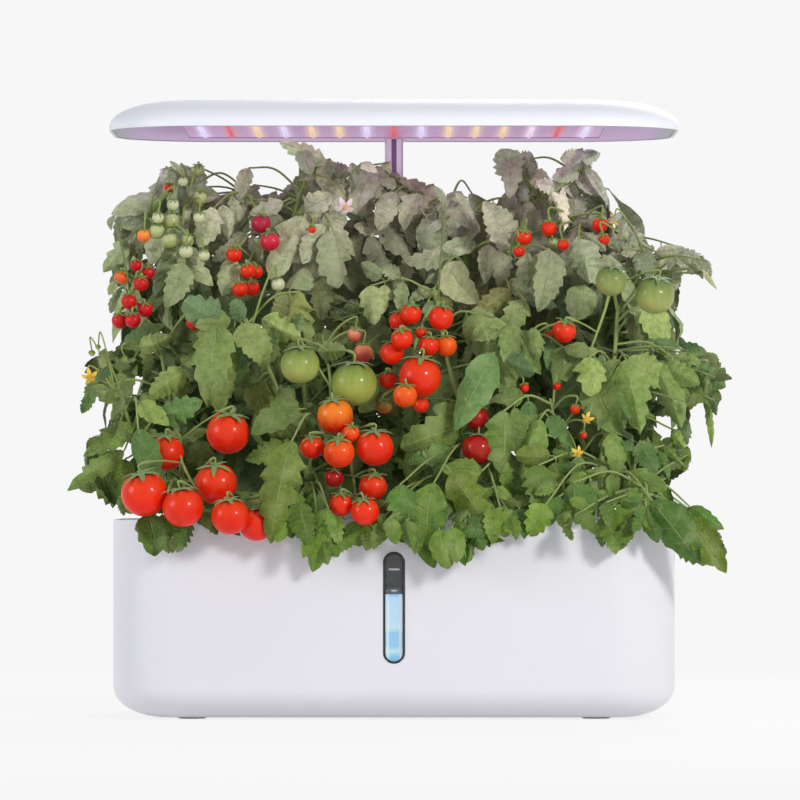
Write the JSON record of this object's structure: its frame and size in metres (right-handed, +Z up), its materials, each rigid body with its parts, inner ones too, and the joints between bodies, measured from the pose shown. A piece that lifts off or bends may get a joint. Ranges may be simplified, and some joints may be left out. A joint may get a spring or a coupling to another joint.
{
  "type": "countertop hydroponic garden",
  "caption": "Countertop hydroponic garden: white water tank with a level window, raised grow lamp on a sliding pole, and tomato plants in fruit.",
  "frame": {"origin": "on the floor plane under the middle of the whole object, which is the middle of the tank to within 3 mm", "axes": "+X to the right along the tank's long side, +Y to the rear, +Z up; the level window faces -Y"},
  "size_m": [0.4679, 0.3372, 0.4405],
  "materials": {
    "shell_white": "satin moulded white plastic",
    "deck_white": "fine textured white plastic",
    "lamp_reflector": "satin white plate under lilac light",
    "led_light": "white board with rows of lit diodes",
    "black_trim": "polished black plastic",
    "black_plastic": "matt black plastic",
    "grey_plastic": "satin grey plastic",
    "clear_window": "clear polished",
    "water": "clear pale blue water",
    "pole_metal": "satin anodised",
    "pin_steel": "drawn wire",
    "foot_rubber": "soft matt rubber",
    "circuit_board": "green solder mask",
    "lead_black": "smooth black sheath",
    "tomato_leaf": "veined leaf with fine hairs",
    "tomato_stem": "hairy green stem",
    "tomato_skin": "smooth waxy ripe skin"
  },
  "bodies": {
    "base": {"tank": "shell_white", "foot_1": "foot_rubber", "foot_2": "foot_rubber", "foot_3": "foot_rubber", "foot_4": "foot_rubber", "window_bezel": "black_trim", "window_lens": "clear_window", "window_chamber": "black_plastic", "window_water": "water", "deck": "deck_white", "pole_socket": "deck_white", "button_panel": "shell_white", "control_box": "deck_white", "control_board": "circuit_board", "power_inlet": "black_plastic", "inlet_lead": "lead_black", "pump_body": "black_plastic", "pump_cover": "black_plastic", "pump_shaft": "pin_steel", "pump_hose": "grey_plastic", "pump_cable": "lead_black", "pole_outer": "pole_metal", "pole_cap": "shell_white", "lamp_lead": "lead_black", "grow_basket_1": "deck_white", "grow_basket_2": "deck_white", "grow_basket_3": "deck_white", "grow_basket_4": "deck_white", "grow_basket_5": "deck_white", "grow_basket_6": "deck_white", "grow_basket_7": "deck_white", "grow_basket_8": "deck_white", "tomato_plant_1": "tomato_leaf", "tomato_plant_2": "tomato_leaf", "tomato_plant_3": "tomato_leaf", "tomato_plant_4": "tomato_leaf", "tomato_plant_5": "tomato_leaf", "tomato_plant_6": "tomato_leaf", "tomato_plant_7": "tomato_leaf", "tomato_plant_8": "tomato_leaf", "truss_front_left": "tomato_skin", "truss_centre_low": "tomato_skin", "truss_centre_high": "tomato_skin", "truss_green_centre": "tomato_skin", "truss_dark_red": "tomato_skin", "truss_left_crimson": "tomato_skin", "truss_left_cherry": "tomato_skin", "truss_unripe": "tomato_skin", "truss_right_top": "tomato_skin", "truss_right": "tomato_skin"},
    "lamp": {"pole_inner": "pole_metal", "lamp_shell": "shell_white", "lamp_plate": "lamp_reflector", "led_board": "led_light"},
    "flap": {"fill_cap": "deck_white"},
    "float": {"level_float": "grey_plastic"},
    "light_key": {"light_button": "grey_plastic"},
    "pump_key": {"pump_button": "grey_plastic"},
    "timer_key": {"timer_button": "grey_plastic"},
    "impeller": {"pump_impeller": "grey_plastic"}
  },
  "joints": [
    {"name": "lamp_lift", "type": "slide", "parent": "base", "child": "lamp", "axis": [0, 0, 1], "range_m": [0, 0.08], "deforming": ["lamp_lead"]},
    {"name": "fill_cap_hinge", "type": "hinge", "parent": "base", "child": "flap", "pos_m": [0.112, 0.1128, 0.1442], "axis": [-1, 0, 0], "range_deg": [0, 100]},
    {"name": "float_slide", "type": "slide", "parent": "base", "child": "float", "axis": [0, 0, 1], "range_m": [-0.04, 0], "deforming": ["window_water"]},
    {"name": "light_button_press", "type": "slide", "parent": "base", "child": "light_key", "axis": [0, 0, -1], "range_m": [0, 0.001], "stiffness_N_per_m": 400},
    {"name": "pump_button_press", "type": "slide", "parent": "base", "child": "pump_key", "axis": [0, 0, -1], "range_m": [0, 0.001], "stiffness_N_per_m": 400},
    {"name": "timer_button_press", "type": "slide", "parent": "base", "child": "timer_key", "axis": [0, 0, -1], "range_m": [0, 0.001], "stiffness_N_per_m": 400},
    {"name": "impeller_spin", "type": "hinge", "parent": "base", "child": "impeller", "pos_m": [0, -0.002, 0.0225], "axis": [0, 1, 0], "continuous": true}
  ]
}
